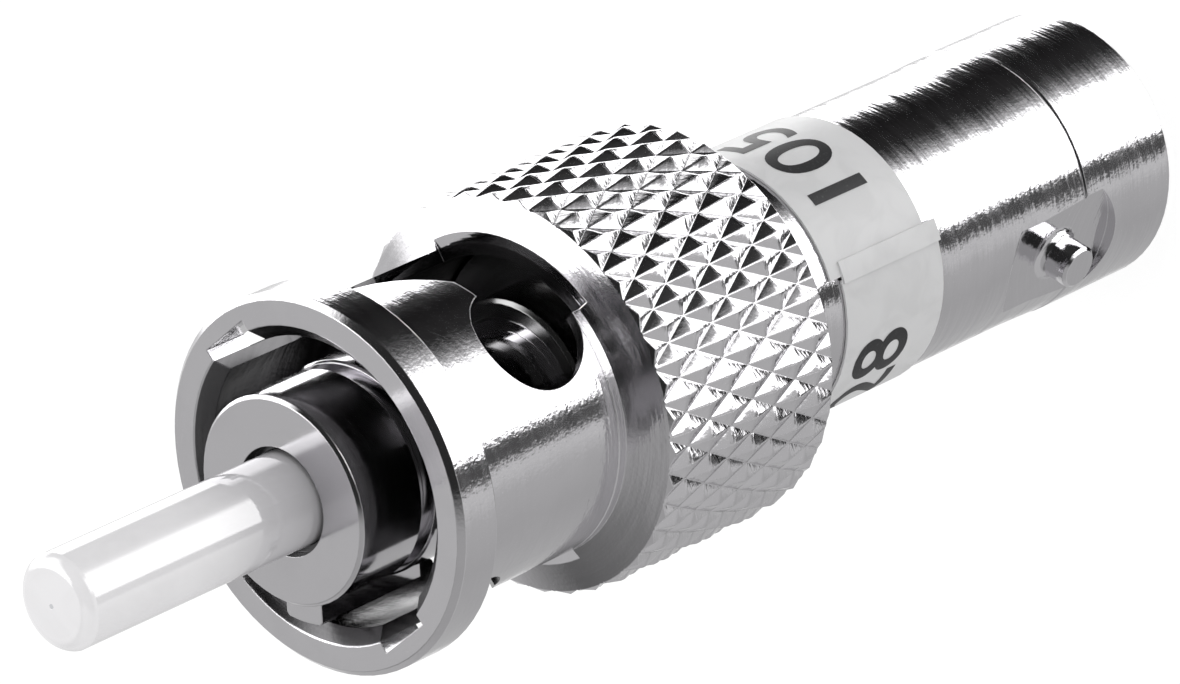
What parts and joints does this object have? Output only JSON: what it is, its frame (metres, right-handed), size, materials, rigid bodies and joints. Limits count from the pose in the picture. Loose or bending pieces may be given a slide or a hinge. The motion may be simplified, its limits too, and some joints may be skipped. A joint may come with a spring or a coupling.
{
  "type": "fibre attenuator",
  "caption": "Inline optical attenuator: ceramic ferrule in a sprung bayonet plug with a knurled nut at one end, bayonet jack with side lugs and a split sleeve at the other.",
  "frame": {"origin": "centre of the jack's mouth, on which the part stands", "axes": "+Z along the axis from the jack to the ferrule tip; +X square to it, towards the side between the lug and the round hole that the picture shows"},
  "size_m": [0.0106, 0.0106, 0.038],
  "materials": {
    "ceramic": "polished white zirconia",
    "fibre_glass": "polished doped silica",
    "nickel_holder": "bright nickel plate on turned brass",
    "nickel_body": "bright nickel plate on turned brass",
    "nickel_nut": "bright nickel plate on turned and knurled brass",
    "nickel_jack": "bright nickel plate on turned brass",
    "sleeve_bronze": "plain phosphor bronze",
    "spring_steel": "bright drawn wire and stamped sheet",
    "label_film": "semi-gloss white film"
  },
  "bodies": {
    "plug": {"ferrule": "ceramic", "attenuating_fibre": "fibre_glass", "ferrule_holder": "nickel_holder", "alignment_key": "nickel_holder", "plug_body": "nickel_body", "alignment_sleeve": "sleeve_bronze", "sleeve_case": "nickel_body", "coupling_spring": "spring_steel", "jack_housing": "nickel_jack", "label": "label_film"},
    "slip_washer": {"thrust_washer": "spring_steel"},
    "nut": {"coupling_nut": "nickel_nut"}
  },
  "joints": [
    {"name": "coupling_travel", "type": "slide", "parent": "plug", "child": "slip_washer", "axis": [0, 0, 1], "range_m": [0, 0.00105], "stiffness_N_per_m": 4000, "springref_m": -0.0012, "deforming": ["coupling_spring"]},
    {"name": "coupling_turn", "type": "hinge", "parent": "slip_washer", "child": "nut", "pos_m": [0, 0, 0.0164], "axis": [0, 0, 1], "continuous": true}
  ]
}
